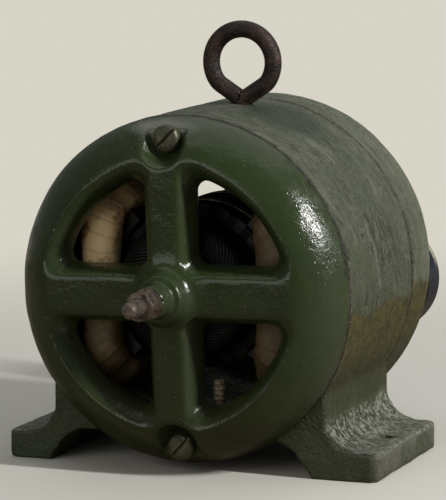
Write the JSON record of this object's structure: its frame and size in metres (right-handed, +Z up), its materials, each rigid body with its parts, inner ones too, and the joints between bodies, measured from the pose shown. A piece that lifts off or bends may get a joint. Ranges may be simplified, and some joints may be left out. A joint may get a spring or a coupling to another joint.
{
  "type": "direct-current generator",
  "caption": "Small open-type two-pole dynamo: cast drum on feet, domed end bells with rounded windows, taped field coils, wound armature, brush gear, lifting eye and belt pulley",
  "frame": {"origin": "On the floor, midway between the two foot bolt holes", "axes": "The shaft runs along Y with its nut end at -Y and its pulley end at +Y, 94 mm above the floor; +Z is up; +X is the side with the terminal housing"},
  "size_m": [0.206, 0.273, 0.2272],
  "materials": {
    "green_enamel": "dark bottle green enamel on rough cast iron, worn and dusty",
    "worn_screw": "old slotted steel, greyed and painted over",
    "eye_iron": "dark rusted iron",
    "pole_iron": "black varnished iron",
    "coil_tape": "tan cotton tape, varnished",
    "bronze": "bearing bronze",
    "bare_steel": "turned steel, dulled",
    "core_steel": "dark laminated steel",
    "black_varnish": "black insulating varnish over cotton-covered wire",
    "band_wire": "tinned binding wire",
    "copper": "hard-drawn copper",
    "mica": "mica sheet",
    "fibre": "red-brown vulcanised fibre",
    "brass": "sheet and turned brass",
    "carbon": "carbon",
    "spring_steel": "spring wire",
    "ebonite": "polished blue-black moulded ebonite",
    "black_rubber": "soft rubber",
    "pulley_iron": "turned grey iron"
  },
  "bodies": {
    "frame": {"yoke_frame": "green_enamel", "front_bell": "green_enamel", "rear_bell": "green_enamel", "front_bell_screws": "worn_screw", "rear_bell_screws": "worn_screw", "eye_bolt": "eye_iron", "pole_shoe_left": "pole_iron", "pole_shoe_right": "pole_iron", "pole_shoe_screws": "worn_screw", "field_coil_left": "coil_tape", "field_coil_right": "coil_tape", "field_link_lead": "coil_tape", "front_bush": "bronze", "rear_bush": "bronze", "terminal_base": "fibre", "terminal_studs": "brass", "terminal_cap": "ebonite", "terminal_cap_screw": "brass", "lead_bush": "black_rubber"},
    "rocker": {"brush_rocker": "fibre", "rocker_clamp_screw": "worn_screw", "brush_insulators": "ebonite", "brush_box_top": "brass", "brush_box_bottom": "brass", "brush_spring_top": "spring_steel", "brush_spring_bottom": "spring_steel"},
    "top_brush": {"brush_top": "carbon"},
    "bottom_brush": {"brush_bottom": "carbon"},
    "rotor": {"shaft": "bare_steel", "armature_core": "core_steel", "slot_coils": "black_varnish", "armature_winding_front": "black_varnish", "armature_winding_rear": "black_varnish", "winding_bands": "band_wire", "commutator_bars": "copper", "commutator_mica": "mica", "commutator_sleeve": "fibre", "thrust_collar": "bare_steel", "nut_washer": "bare_steel", "shaft_nut": "worn_screw", "pulley": "pulley_iron", "pulley_set_screw": "worn_screw"}
  },
  "joints": [
    {"name": "rotor_spin", "type": "hinge", "parent": "frame", "child": "rotor", "pos_m": [0, 0, 0.094], "axis": [0, 1, 0], "continuous": true},
    {"name": "rocker_turn", "type": "hinge", "parent": "frame", "child": "rocker", "pos_m": [0, 0.075, 0.094], "axis": [0, 1, 0], "range_deg": [-10, 10]},
    {"name": "top_brush_lift", "type": "slide", "parent": "rocker", "child": "top_brush", "axis": [0, 0, 1], "range_m": [0, 0.003], "stiffness_N_per_m": 300, "springref_m": -0.004, "deforming": ["brush_spring_top"]},
    {"name": "bottom_brush_lift", "type": "slide", "parent": "rocker", "child": "bottom_brush", "axis": [0, 0, -1], "range_m": [0, 0.003], "stiffness_N_per_m": 300, "springref_m": -0.004, "deforming": ["brush_spring_bottom"]}
  ]
}
